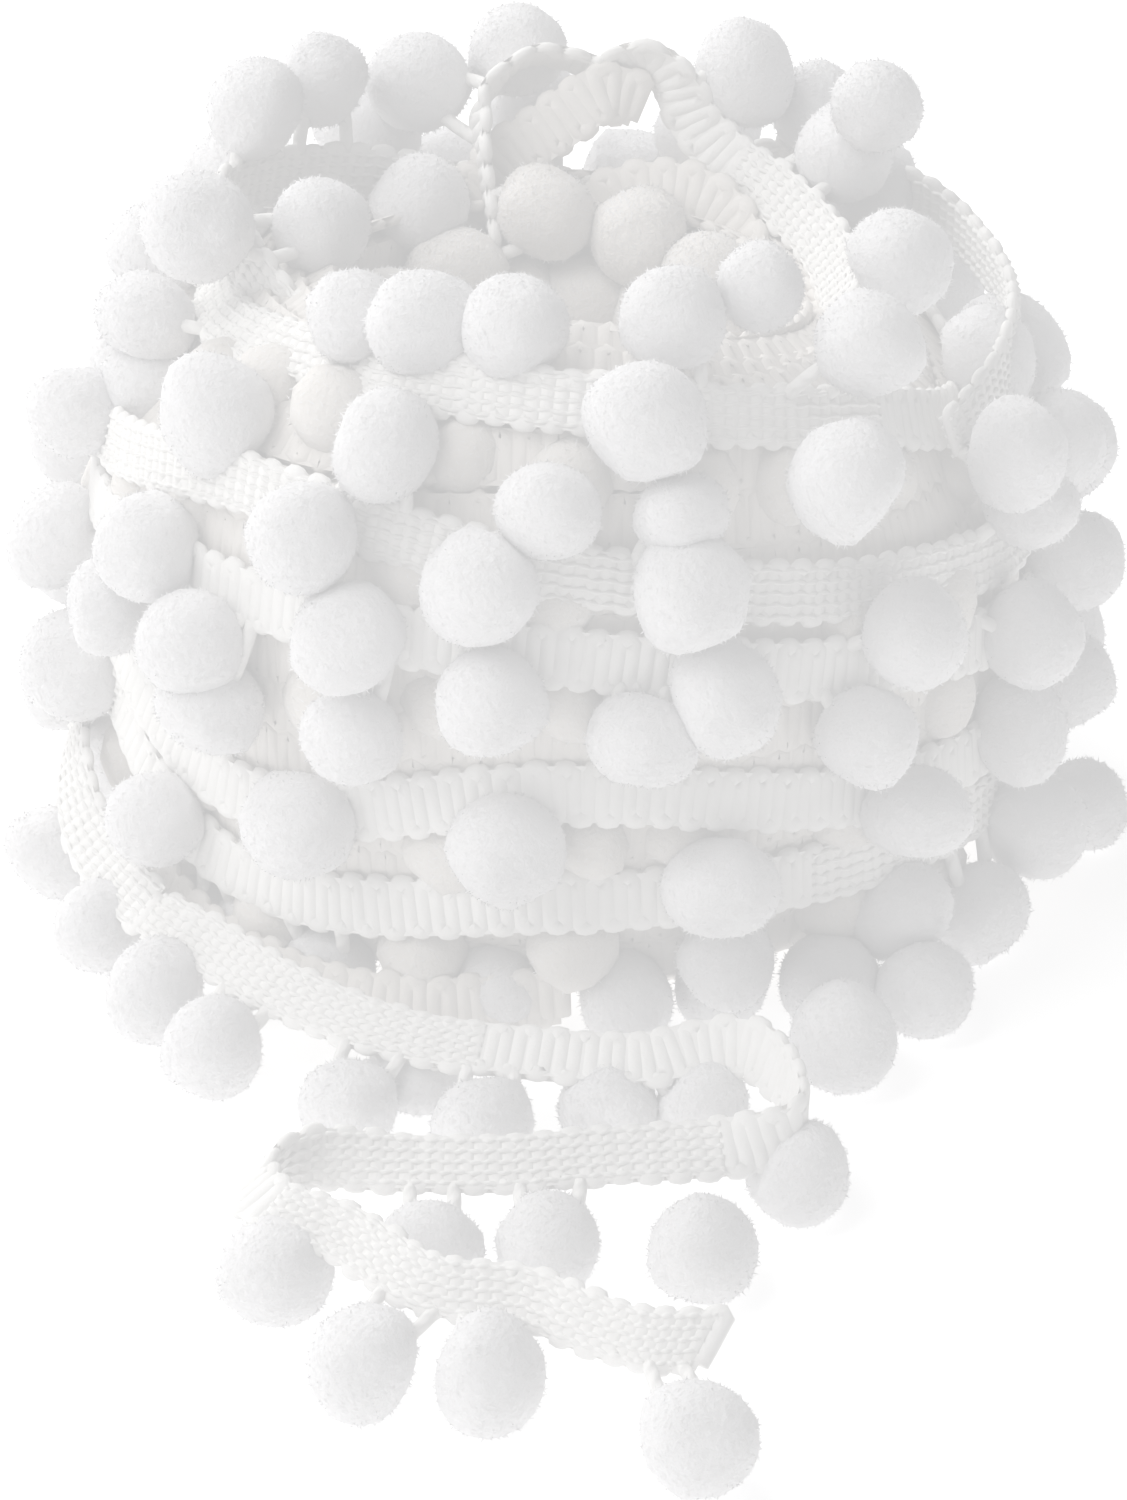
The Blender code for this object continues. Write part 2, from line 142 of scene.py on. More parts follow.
# The stretches that stand on the rim and inside it, by name: the arch with its leg, the face at the
# left, the inner turns that show through the arch, and the turn that stands at the right
Stretch = namedtuple("Stretch", "name stitched rows")
Along = namedtuple("Along", "azimuth radius height lean")
RIM_STRETCHES = (
    Stretch("arch_tape", 0.42, (
        Along(-22, 47, 104, -20), Along(0, 50, 108, -40), Along(22, 51, 109, -46), Along(41, 52, 111, -44),
        Along(56, 54, 113, -35), Along(64, 55, 118.5, -15), Along(68, 55, 125, 8),
        Along(73, 55, 129.5, 20),
        Along(78, 55, 128.5, 34), Along(83, 55, 126.5, 42), Along(89, 55, 128.5, 46),
        Along(96, 55, 129.6, 46), Along(103, 53, 127.5, 42), Along(108, 51, 123, 24),
        Along(110, 46, 117, 2), Along(111, 41, 110, -6), Along(112, 36, 102, -8), Along(114, 30, 92, -8),
    )),
    Stretch("left_tape", 1, (
        Along(112, 52, 102, 0), Along(125, 58, 108, 0), Along(142, 63, 113, 0), Along(158, 67, 117, 5),
        Along(170, 65, 120, 10), Along(180, 60, 119, 15), Along(190, 55, 115, 15), Along(203, 49, 108, 10),
        Along(218, 46, 99, 0), Along(232, 45, 90, 0),
    )),
    Stretch("inner_tape", 0, (
        Along(128, 44, 96, 25), Along(114, 45, 106, 30), Along(102, 46, 114, 32), Along(91, 47, 120, 32),
        Along(82, 49, 125, 30), Along(74, 52, 122, 15),
    )),
    Stretch("deep_tape", 0, (
        Along(92, 42, 98, 25), Along(75, 44, 107, 28), Along(56, 45, 109, 28), Along(44, 45, 104, 25),
        Along(28, 44, 96, 15),
    )),
    Stretch("right_tape", 1, (
        Along(-26, 77, 98, 15), Along(-12, 80, 101, 5), Along(5, 82, 102, 0), Along(21, 82, 102.5, 0),
        Along(34, 81, 103.5, 0), Along(50, 76, 104, 5), Along(66, 70, 101, 10),
    )),
)

# The turn at the foot of the ball, behind the tape that leaves it
FOOT_STRETCH = Stretch("foot_tape", 0, (
    Along(198, 85, 19, 5), Along(212, 90, 14.5, 20), Along(226, 92.5, 11.5, 30), Along(240, 93.5, 11, 32),
    Along(254, 91, 11, 28), Along(270, 84, 11, 10),
))

# The core that the turns lie on: its height right round, its foot, and its inside
CORE_TOPS = (108, 108, 107, 111, 118, 125, 130, 119)
Outline = namedtuple("Outline", "radius height")
CORE_FOOT = (Outline(66, 0), Outline(79, 8))
CORE_RIM = 54
HOLLOW_RADII = (44.0, 39.5)
SKIN_DEPTH = 4.6

# The turns underneath: how many, their heights above the floor and below the rim, and their radii
TURN_STEP = 3.0
UNDER_TURNS = 12
UNDER_DEPTH = 3.2
UNDER_FOOT = 7
UNDER_BELOW_RIM = 4
LEAN_OVER = 3
HOLLOW_TURNS = 9
HOLLOW_FOOT = 8
HOLLOW_BELOW_RIM = 5
HOLLOW_WIDENS = (0.6, 1.0)
RIM_TURNS = 2.4
RIM_TOP_RADII = (44, 58)
RIM_TOP_FALLS = 3
RIM_TOP_LEAN = 60

# The last turn's tape, from under the ball to the floor beside it
LEAVING = (
    Along(80, 78, 16, 0), Along(110, 81, 20, 0), Along(140, 84, 27, 0), Along(160, 87.5, 30, 5),
    Along(178, 90, 31, 12), Along(190, 91.5, 29, 20),
)

# The pompoms: each row's distance from the axis, those that show in front as (azimuth, height, across),
# and the plain stretch behind
Row = namedtuple("Row", "name reach shown behind")
Behind = namedtuple("Behind", "first last count height")
Stray = namedtuple("Stray", "azimuth reach height")
STRAY = Stray(2, 1, 3)
ROWS = (
    Row("rim", 66, ((133, 128, 17.5), (150, 130, 18.5), (115, 121, 19.5), (98, 125, 19), (59, 125, 19.5),
                    (30, 130, 17), (38, 117, 19.5)), None),
    Row("rim_outside", 78, ((53, 114, 17), (41, 103, 17)), Behind(72, 164, 5, 107)),
    Row("rim_front", 57, ((307, 136, 16), (289, 134, 19.3), (261, 133, 19), (244, 131, 19),
                          (228, 128, 16.5)), None),
    Row("rim_inside", 45, ((127, 108, 18.5), (176, 121, 18)), None),
    Row("hollow", 34, ((97, 107, 18), (68, 105, 18.5), (40, 100, 18), (128, 98, 18.5), (165, 100, 19),
                       (200, 104, 18), (350, 92, 18), (20, 84, 18)), Behind(36, 148, 6, 89)),
    Row("hollow_low", 34, (), Behind(44, 136, 5, 73)),
    Row("shoulder", 67, ((333, 132, 19.2), (187, 127, 20.5)), None),
    Row("upper", 77, ((183, 107, 17.5), (183, 93, 20), (216, 109, 21.5), (280, 126, 21), (313, 130, 19),
                      (357, 98, 18.6), (245, 117, 20)), None),
    Row("upper_low", 84, ((268, 112, 18.5), (284, 110, 16)), Behind(12, 150, 7, 88)),
    Row("middle", 90, ((184, 88, 18.5), (213, 85, 19.7), (239, 103, 19.6), (260, 99, 21), (284, 99, 20.3),
                       (303, 113, 21), (333, 98, 19.7), (356, 82, 18.5), (338, 84, 17)), None),
    Row("belt", 94, ((184, 62, 19.2), (224, 74, 20), (245, 87, 20), (262, 79, 19.6), (287, 78, 20),
                     (311, 80, 19.2), (334, 61, 19), (356, 56, 19.3), (208, 69, 17)),
        Behind(14, 166, 9, 66)),
    Row("waist", 93.5, ((194, 43, 20), (227, 63, 18.6), (246, 67, 18), (278, 70, 18), (305, 62, 18.2),
                        (333, 41, 18.3), (355, 32, 18)), Behind(6, 172, 10, 44)),
    Row("lower", 94, ((217, 31, 17.5), (239, 45, 20.4), (263, 48, 20.2), (287, 38, 20.3), (312, 41, 19.1),
                      (336, 18, 19.8)), Behind(14, 178, 9, 22)),
    Row("foot", 88, ((313, 17, 19.7), (289, 18, 18)), None),
)
# The pompoms of the turns underneath, which show in the gaps between the outer turns
Deep = namedtuple("Deep", "count inwards across lowest")
DEEP = Deep(20, 6.0, 16.5, 12)
DEEP_FOOT = 8.0
DEEP_SHIFT = 0.25
DEEP_STRAY = Stray(0, 1, 2)
DEEP_SIZES = (0.94, 1.06)
GROUPS = {
    "rim_pompoms": ("rim", "rim_outside", "rim_front", "rim_inside", "shoulder"),
    "hollow_pompoms": ("hollow", "hollow_low"),
    "upper_pompoms": ("upper", "upper_low", "middle"),
    "belt_pompoms": ("belt",),
    "waist_pompoms": ("waist",),
    "lower_pompoms": ("lower", "foot"),
}
# What shows inside the ball, coloured in darker, warmer shades: painted shade for its gaps and its hollow
PAINTED_SHADE_GROUPS = ("deep_pompoms", "hollow_pompoms")
PAINTED_SHADE_TAPES = ("inner_tape", "deep_tape", "foot_tape")

# The pompoms that lie on the floor: under the ball, beside the tape that leaves it, and at the loose end
Place = namedtuple("Place", "x y across")
LEAVING_POMPOMS = (Place(-94, -32, 18), Place(-85.5, -56.5, 17.5))
FOOT_POMPOMS = (
    Place(-69, -45, 18), Place(-57, -60, 18), Place(-43, -72, 18), Place(-25.5, -75, 17),
    Place(-12, -78.5, 19),
    Place(10.5, -82, 18.5), Place(28, -73.5, 18), Place(47.5, -74.5, 18), Place(50, -96.5, 19.5),
    Place(64.5, -78.5, 18), Place(76, -53, 18.5), Place(97, -15, 17), Place(86, 16, 18),
    Place(72, 48, 18), Place(44, 73, 18), Place(10, 85, 18), Place(-26, 81, 18), Place(-57, 64, 18),
    Place(-78, 36, 18), Place(-85, 2, 18),
)
END_POMPOMS = (
    Place(-74.5, -79, 18.5), Place(-63.5, -97.5, 18.5), Place(-39.5, -115.5, 18), Place(-27, -103, 16),
    Place(-15.3, -123.3, 19), Place(6.8, -115.5, 17), Place(23.5, -115.5, 17), Place(40, -136, 18.5),
    Place(23.5, -162, 19.5), Place(-3, -159, 18.5), Place(-23.5, -160, 18), Place(-50, -167, 19.5),
    Place(-35, -192.5, 19.5), Place(-13.5, -197, 19.5), Place(22, -216, 20.5),
)

# The loose end's tape, a row for each bend, from where it leaves the ball to its cut end
Bend = namedtuple("Bend", "x y height lean")
LOOSE_END = (
    Bend(-91, -29, 24, 30), Bend(-87, -44.5, 18, 45), Bend(-76, -63.4, 16, 50), Bend(-64.6, -75.5, 16, 54),
    Bend(-49.6, -91, 16, 60), Bend(-26, -105.5, 16, 68), Bend(9.4, -112, 16, 68), Bend(24, -110, 17, 55),
    Bend(33, -112, 18, 35), Bend(39, -122, 18, 15), Bend(41, -134, 18, 0), Bend(35, -138.5, 17, -20),
    Bend(23, -140, 16, -56), Bend(5.8, -142, 16, -60), Bend(-12, -144.5, 16, -60),
    Bend(-30, -144, 16, -58), Bend(-44, -144, 17, -22), Bend(-54, -150.5, 17.5, 40),
    Bend(-50.5, -160.5, 18, 62), Bend(-38, -167, 17, 56), Bend(-24, -180, 16, 52),
    Bend(-8, -183.5, 16, 50),
    Bend(2.2, -190.5, 16, 50), Bend(14, -196.5, 16, 50), Bend(29.5, -196, 16, 50),
)
CUT_AZIMUTH = 220.5
CUT_SLANT = 7.5
CUT_BENDS_OVER = 22.0

# Which stretches show the stitched face, as shares of a tape's length, and on which side of it
Stitched = namedtuple("Stitched", "first last side")
WOUND_STITCHED = (
    Stitched(0.0, 0.095, 1), Stitched(0.15, 0.20, 1), Stitched(0.66, 0.80, 1), Stitched(0.83, 0.917, 1),
    Stitched(0.95, 1.0, 1),
)
END_STITCHED = (Stitched(0.0, 0.22, 1), Stitched(0.47, 0.71, -1), Stitched(0.74, 1.0, 1))

# Shades of white, dark and light: the pile, its loose ends, the yarn, and painted shade for inside the
# ball
PILE_SHADES = ((0.715, 0.708, 0.713), (0.755, 0.747, 0.755))
FIBRE_SHADES = ((0.73, 0.723, 0.728), (0.78, 0.773, 0.778))
YARN_SHADES = ((0.79, 0.78, 0.76), (0.83, 0.82, 0.805))
# Painted shade: a darker, warmer white for the core, the tape's ground and all that lies inside the ball
INNER_PAINTED_SHADE = ((0.70, 0.67, 0.635), (0.75, 0.72, 0.69))
FLOOR_SHADES = ((0.945, 0.945, 0.945), (0.955, 0.955, 0.955))

# The grain of each surface, in turns a metre, or a millimetre of yarn, and its bumps, in millimetres
Grain = namedtuple("Grain", "scale detail")
Bumps = namedtuple("Bumps", "strength depth")
TINT_BETWEEN = (0.3, 0.7)
PILE_TINT = Grain(160, 3)
PILE_TUFTS = Grain(800, 3)
PILE_TUFT_BUMPS = Bumps(0.6, 0.8)
PILE_FIBRES = Grain(2400, 2)
PILE_FIBRE_BUMPS = Bumps(0.5, 0.3)
PILE_SOFTNESS = 0.4
PILE_SOFT_DEPTH = 2.5
FIBRE_TINT = Grain(700, 2)
YARN_TINT = Grain(220, 3)
YARN_FIBRES = Grain(1.5, 4)
YARN_FIBRE_BUMPS = Bumps(0.5, 0.3)
YARN_STRETCH = (0.9, 9.0, 1.0)
PLIES = 2
PLY_BUMPS = Bumps(0.4, 0.3)
GROUND_TINT = Grain(300, 3)
GROUND_GRAIN = Grain(1400, 2)
GROUND_BUMPS = Bumps(0.5, 0.4)
FLOOR_TINT = Grain(4, 2)

# The light, in metres and watts: the room from left to right, the softboxes, and the pale floor, lit
# through as a light table is. The exposure's curve lifts the shades, as in a bright studio picture.
ROOM_LIGHT = (0.76, 0.03)
Softbox = namedtuple("Softbox", "name place size power")
SOFTBOXES = (
    Softbox("key", (-1.9, -0.7, 1.3), 1.2, 9.0),
    Softbox("back", (-0.8, 1.5, 1.7), 1.4, 27.0),
    Softbox("top", (-1.1, -0.4, 2.1), 1.4, 17.5),
)
LIT_PLACE = (0.0, 0.0, 0.06)
FLOOR_HALF = 6.0
FLOOR_GLOW = 0.56
SHADE_LIFT = 0.55

# Camera, in the ball's frame
ELEVATION = 32.0
DISTANCE = 1550.0
TARGET = np.array((-0.6, -50.0, 42.0))
LENS = 204.6
FRAME_HEIGHT = 36.0


def unit(vectors):
    return vectors / np.maximum(np.linalg.norm(vectors, axis=-1, keepdims=True), 1e-9)


def between(values, at):
    """Smooth values between those of a list, at places counted in steps of the list."""
    values = np.asarray(values, float)
    last = len(values) - 1
    at = np.clip(np.asarray(at, float), 0, last)
    first = np.minimum(at.astype(int), last - 1)
    share = at - first
    before, start, end, after = (values[np.clip(first + k, 0, last)] for k in (-1, 0, 1, 2))
    slope_in = (end - before) / 2
    slope_out = (after - start) / 2
    square = share * share
    cube = square * share
    return (start * (2 * cube - 3 * square + 1) + slope_in * (cube - 2 * square + share)
            + end * (3 * square - 2 * cube) + slope_out * (cube - square))


def around(values, azimuth):
    """Smooth values at azimuths, from eight values right round."""
    wrapped = (values[-1],) + tuple(values) + tuple(values[:2])
    return between(wrapped, np.mod(azimuth, 360) / 360 * len(values) + 1)


def polar(azimuth, radius, height):
    angle = np.radians(azimuth)
    return np.stack((radius * np.cos(angle), radius * np.sin(angle), height + 0 * angle), axis=-1)


def smooth_step(value, low, high):
    share = np.clip((value - low) / (high - low), 0, 1)
    return share * share * (3 - 2 * share)


class Tape:
    """A tape's middle line with the directions across and out of it, by distance along it."""

    slant = 0.0

    def __init__(self, places, leans, step=1.0):
        gaps = np.linalg.norm(np.diff(places, axis=0), axis=1)
        travelled = np.concatenate(([0.0], np.cumsum(gaps)))
        self.length = float(travelled[-1])
        self.marks = np.linspace(0, self.length, int(self.length / step) + 2)
        self.middle = np.stack([np.interp(self.marks, travelled, places[:, k]) for k in range(3)], axis=1)
        lean = np.radians(np.interp(self.marks, travelled, leans))[:, None]
        along = unit(np.gradient(self.middle, axis=0))
        side = unit(np.cross(UP, along))
        self.across = unit(np.cross(along, side) * np.cos(lean) + side * np.sin(lean))
        self.outwards = np.cross(along, self.across)

    def mixed(self, table, marks):
        return np.stack([np.interp(marks, self.marks, table[:, k]) for k in range(3)], axis=1)

    def at(self, along, across, out):
        """Places on the tape, given as distances along, across and out of it."""
        along, across, out = np.broadcast_arrays(*(np.asarray(v, float) for v in (along, across, out)))
        ending = smooth_step(along, self.length - CUT_BENDS_OVER, self.length)
        along = along - self.slant * ending * (0.5 - across / TAPE_WIDTH)
        return (self.mixed(self.middle, along) + self.mixed(self.across, along) * across[:, None]
                + self.mixed(self.outwards, along) * out[:, None])


class Shape:
    """The points and faces of one mesh, all its faces with the same number of corners."""

    def __init__(self):
        self.points, self.faces, self.uvs, self.normals = [], [], [], []
        self.count = 0

    def add(self, points, faces, uvs=None, normals=None):
        """Adds points and faces. Either all that is added has normals, or nothing."""
        if normals is not None:
            self.normals.append(normals)
        self.points.append(points)
        self.faces.append(faces + self.count)
        self.uvs.append(np.zeros(faces.shape + (2,)) if uvs is None else uvs)
        self.count += len(points)

    def tube(self, line, aside, radius, sides, flat=1.0):
        """A tube along a line. aside is a direction at each point that stays on the same side."""
        along = unit(np.gradient(line, axis=0))
        aside = unit(aside - along * (aside * along).sum(axis=1, keepdims=True))
        other = np.cross(along, aside)
        turns = 2 * np.pi * np.arange(sides) / sides
        rings = (line[:, None] + aside[:, None] * (np.sin(turns) * radius * flat)[None, :, None]
                 + other[:, None] * (np.cos(turns) * radius)[None, :, None])
        steps = np.arange(len(line) - 1)[:, None]
        side = np.arange(sides)[None, :]
        following = (side + 1) % sides
        faces = np.stack([steps * sides + side, steps * sides + following,
                          (steps + 1) * sides + following, (steps + 1) * sides + side], axis=-1)
        travelled = np.concatenate(([0.0], np.cumsum(np.linalg.norm(np.diff(line, axis=0), axis=1))))
        start, end = (travelled[k][:, None] + 0.0 * side for k in (steps[:, 0], steps[:, 0] + 1))
        low, high = (side + k + 0.0 * steps for k in (0, 1))
        uvs = np.stack([np.stack((start, low / sides), -1), np.stack((start, high / sides), -1),
                        np.stack((end, high / sides), -1), np.stack((end, low / sides), -1)], axis=-2)
        last = (len(line) - 1) * sides
        caps = [[0, k + 2, k + 1, k] for k in range(1, sides - 2, 2)]
        caps += [[last, last + k, last + k + 1, last + k + 2] for k in range(1, sides - 2, 2)]
        self.add(rings.reshape(-1, 3), np.concatenate((faces.reshape(-1, 4), caps)),
                 np.concatenate((uvs.reshape(-1, 4, 2), np.zeros((len(caps), 4, 2)))))

    def as_object(self, name, material):
        points = (np.concatenate(self.points) + BALL_AXIS) * MM
        faces = np.concatenate(self.faces)
        mesh = bpy.data.meshes.new(name)
        mesh.from_pydata(points, [], faces)
        mesh.polygons.foreach_set("use_smooth", np.ones(len(faces), bool))
        uvs = np.concatenate(self.uvs)
        mesh.uv_layers.new(name="yarn").data.foreach_set("uv", uvs.ravel())
        if self.normals:
            mesh.normals_split_custom_set_from_vertices(np.concatenate(self.normals))
        mesh.materials.append(material)
        made = bpy.data.objects.new(name, mesh)
        bpy.context.scene.collection.objects.link(made)
        return made


def weft_line(tape, detail):
    """The weft cord's line: ribs across the tape, joined by a turn past its edges."""
    dice = np.random.default_rng(SEED)
    count = round(tape.length / RIB_PITCH)
    pitch = tape.length / count
    along, across = [], []
    for rib in range(count):
        way = 1 if rib % 2 == 0 else -1
        mark = (rib + 0.5) * pitch
        half = RIB_HALF + RIB_VARIES * dice.uniform(-1, 1)
        along += [mark + RIB_VARIES * dice.uniform(-1, 1)] * detail.across
        across += list(way * np.linspace(-half, half, detail.across))
        if rib < count - 1:
            along += [mark + pitch * share for share, _ in detail.loop]
            across += [way * (half + LOOP_REACH * reach) for _, reach in detail.loop]
    return np.array(along), np.array(across)


def add_ribs(shape, tape, detail):
    along, across = weft_line(tape, detail)
    line = tape.at(along, across, np.zeros(len(along)))
    shape.tube(line, tape.mixed(tape.outwards, along), RIB_RADIUS, detail.sides, RIB_FLAT)
    for side in (-1, 1):
        add_strip(shape, tape, FILLING_STEP, side * FILLING_LIFT)


def add_stitches(shape, tape, stretches, detail):
    """Rows of stitches that pass over the ribs and dip between them."""
    for stretch in stretches:
        first, last = tape.length * stretch.first, tape.length * stretch.last
        count = int((last - first) / RIB_PITCH)
        if count < 2:
            continue
        marks = first + np.arange(count * detail.stitch) * RIB_PITCH / detail.stitch
        phase = 2 * np.pi * np.arange(len(marks)) / detail.stitch
        lift = RIB_RADIUS * RIB_FLAT + STITCH_LIFT + STITCH_WAVE * np.cos(phase)
        for row, middle in enumerate(STITCH_ROWS):
            sway = STITCH_SWAY * np.sin(phase / 2 + row)
            line = tape.at(marks, middle + sway, stretch.side * lift)
            shape.tube(line, tape.mixed(tape.outwards, marks), STITCH_RADIUS, detail.stitch_sides)


def add_strip(shape, tape, step=GROUND_STEP, out=0.0):
    """A thin strip inside the ribs: the ground of the tape, or the yarn's hair between its ribs."""
    marks = np.linspace(RIB_PITCH / 2, tape.length - RIB_PITCH / 2, int(tape.length / step))
    edges = [tape.at(marks, side * GROUND_SHARE * TAPE_WIDTH / 2, out) for side in STRIP_LINES]
    points = np.stack(edges, axis=1).reshape(-1, 3)
    rows = np.arange(len(marks) - 1)[:, None] * 4
    column = np.arange(3)[None, :]
    faces = np.stack([rows + column, rows + column + 1, rows + column + 5, rows + column + 4], axis=-1)
    shape.add(points, faces.reshape(-1, 4))


def turn_values(turn, azimuth):
    return (around(turn.radii, azimuth), around(turn.heights, azimuth), around(turn.leans, azimuth))


def wound_tape():
    """The five turns on the ball as one tape, each turn passing to the next behind the ball."""
    azimuths = np.arange(PASSING[0], PASSING[1] + 360 * len(TURNS), 2.0)
    stations = []
    for azimuth in azimuths:
        turn = int((azimuth - PASSING[0]) // 360)
        share = float(smooth_step(azimuth - 360 * turn, *PASSING))
        values = [turn_values(TURNS[k], azimuth) if 0 <= k < len(TURNS) else None
                  for k in (turn - 1, turn)]
        if values[0] is None:
            values[0] = (values[1][0] + TUCKED[0], values[1][1] + TUCKED[1], values[1][2])
        if values[1] is None:
            values[1] = (values[0][0] + TUCKED[0], values[0][1] + TUCKED[1], values[0][2])
        stations.append([low + (high - low) * share for low, high in zip(*values)])
    radii, heights, leans = np.array(stations).T
    return Tape(polar(azimuths, radii, heights), leans)


def stretch_tape(rows, steps=12):
    """A tape through a few rows of a table."""
    table = np.array([(*polar(row.azimuth, row.radius, row.height), row.lean) for row in rows])
    at = np.linspace(0, len(rows) - 1, (len(rows) - 1) * steps + 1)
    smooth = np.stack([between(table[:, k], at) for k in range(4)], axis=1)
    return Tape(smooth[:, :3], smooth[:, 3])


def last_tapes(steps=12):
    """The last stretch of tape, in two: on the ball and loose."""
    table = [(*polar(row.azimuth, row.radius, row.height), row.lean) for row in LEAVING]
    table = np.array(table + [tuple(bend) for bend in LOOSE_END])
    at = np.linspace(0, len(table) - 1, (len(table) - 1) * steps + 1)
    smooth = np.stack([between(table[:, k], at) for k in range(4)], axis=1)
    azimuths = np.mod(np.degrees(np.arctan2(smooth[:, 1], smooth[:, 0])), 360)
    cut = int(np.argmax(azimuths > CUT_AZIMUTH))
    return (Tape(smooth[:cut + 1, :3], smooth[:cut + 1, 3]), Tape(smooth[cut:, :3], smooth[cut:, 3]))


def core_outside(azimuth, height):
    """The radius of the ball's outside under its turns."""
    points = [tuple(point) for point in CORE_FOOT]
    points += [(float(around(turn.radii, azimuth)), float(around(turn.heights, azimuth)))
               for turn in TURNS]
    points.append((CORE_RIM, float(around(CORE_TOPS, azimuth))))
    radii, heights = zip(*sorted(points, key=lambda point: point[1]))
    return np.interp(height, heights, radii)


def under_tape():
    """The turns under the outer ones, from the foot to the rim."""
    azimuths = np.arange(0, 360 * UNDER_TURNS, TURN_STEP)
    stations, leans = [], []
    for azimuth in azimuths:
        top = float(around(CORE_TOPS, azimuth)) - UNDER_BELOW_RIM
        height = UNDER_FOOT + (top - UNDER_FOOT) * azimuth / (360 * UNDER_TURNS)
        radius, above = (float(core_outside(azimuth, height + k)) for k in (0, LEAN_OVER))
        stations.append((radius - UNDER_DEPTH, height))
        leans.append(math.degrees(math.atan2(radius - above, LEAN_OVER)))
    radii, heights = np.array(stations).T
    return Tape(polar(azimuths, radii, heights), np.array(leans))


def hollow_tape():
    """The turns that line the hollow middle."""
    azimuths = np.arange(0, 360 * HOLLOW_TURNS, TURN_STEP)
    share = azimuths / (360 * HOLLOW_TURNS)
    tops = around(CORE_TOPS, azimuths) - HOLLOW_BELOW_RIM
    heights = HOLLOW_FOOT + (tops - HOLLOW_FOOT) * share
    at_rim, inside = HOLLOW_RADII
    radii = inside + (at_rim - inside) * smooth_step(share, *HOLLOW_WIDENS)
    return Tape(polar(azimuths, radii, heights), np.zeros(len(azimuths)))


def rim_top_tape():
    """The turns that lie on the core's top, between its rim and its hollow."""
    azimuths = np.arange(0, 360 * RIM_TURNS, TURN_STEP)
    share = azimuths / (360 * RIM_TURNS)
    inner, outer = RIM_TOP_RADII
    radii = inner + (outer - inner) * share
    heights = around(CORE_TOPS, azimuths) - UNDER_BELOW_RIM - RIM_TOP_FALLS * share
    return Tape(polar(azimuths, radii, heights), RIM_TOP_LEAN + 0 * azimuths)


def add_skin(shape, sides=90, rows=16):
    """The closed core inside all the turns, so that no light passes through the ball."""
    rings = []
    for side in range(sides):
        azimuth = 360 * side / sides
        top = float(around(CORE_TOPS, azimuth)) - SKIN_DEPTH
        heights = np.linspace(2, top, rows)
        outer = polar(azimuth, core_outside(azimuth, heights) - SKIN_DEPTH, heights - SKIN_DEPTH / 2)
        inner = polar(azimuth, HOLLOW_RADII[1] + SKIN_DEPTH + 0 * heights, heights[::-1] - SKIN_DEPTH / 2)
        rings.append(np.concatenate((outer, inner)))
    count = 2 * rows
    side = np.arange(sides)[:, None]
    row = np.arange(count)[None, :]
    nxt_side, nxt_row = (side + 1) % sides, (row + 1) % count
    faces = np.stack([side * count + row, nxt_side * count + row,
                      nxt_side * count + nxt_row, side * count + nxt_row], axis=-1)
    shape.add(np.concatenate(rings), faces.reshape(-1, 4))


def unit_ball(level):
    """The points and triangles of a ball of radius 1."""
    ball = bmesh.new()
    bmesh.ops.create_icosphere(ball, subdivisions=level, radius=1.0)
    points = np.array([v.co for v in ball.verts])
    faces = np.array([[v.index for v in f.verts] for f in ball.faces])
    ball.free()
    return unit(points), faces


def spread_out(count):
    """Directions spread evenly over a ball."""
    steps = np.arange(count) + 0.5
    rise = 1 - 2 * steps / count
    turn = np.pi * (1 + math.sqrt(5)) * steps
    flat = np.sqrt(1 - rise * rise)
    return np.stack((flat * np.cos(turn), flat * np.sin(turn), rise), axis=1)


# Two levels of detail for a pompom: the surface's points and faces, and where its fibres stand
Pile = namedtuple("Pile", "points faces ways")
SHOWN_PILE = Pile(*unit_ball(3), spread_out(1400))
DEEP_PILE = Pile(*unit_ball(2), spread_out(250))


def random_ways(dice, count):
    return unit(dice.normal(size=(count, 3)))


class PompomForm:
    """One pompom's form: its lumps, its tufts and how it is pressed out of round."""

    def __init__(self, across, dice):
        self.lumps, self.tufts = random_ways(dice, LUMPS), random_ways(dice, TUFTS)
        self.lump_heights = dice.normal(size=LUMPS) * LUMP_HEIGHT
        self.tuft_heights = dice.normal(size=TUFTS) * TUFT_HEIGHT
        self.nibs, self.nib_heights = random_ways(dice, NIBS), dice.uniform(*NIB_HEIGHTS, NIBS)
        self.turned, _ = np.linalg.qr(dice.normal(size=(3, 3)))
        shares = 1 + STRETCH * dice.uniform(-1, 1, 3)
        self.stretched = self.turned @ np.diag(shares / np.cbrt(shares.prod())) @ self.turned.T
        self.reach = across / 2 / self.swell(DEEP_PILE.points).mean()

    def swell(self, ways):
        """How far the surface lies out in each direction, as a share."""
        return (1 + np.exp(LUMP_SHARPNESS * (ways @ self.lumps.T - 1)) @ self.lump_heights
                + np.exp(NIB_SHARPNESS * (ways @ self.nibs.T - 1)) @ self.nib_heights
                + np.exp(TUFT_SHARPNESS * (ways @ self.tufts.T - 1)) @ self.tuft_heights)

    def surface(self, ways):
        """The surface in each direction, from the pompom's middle."""
        return (ways * self.swell(ways)[:, None]) @ self.stretched * self.reach


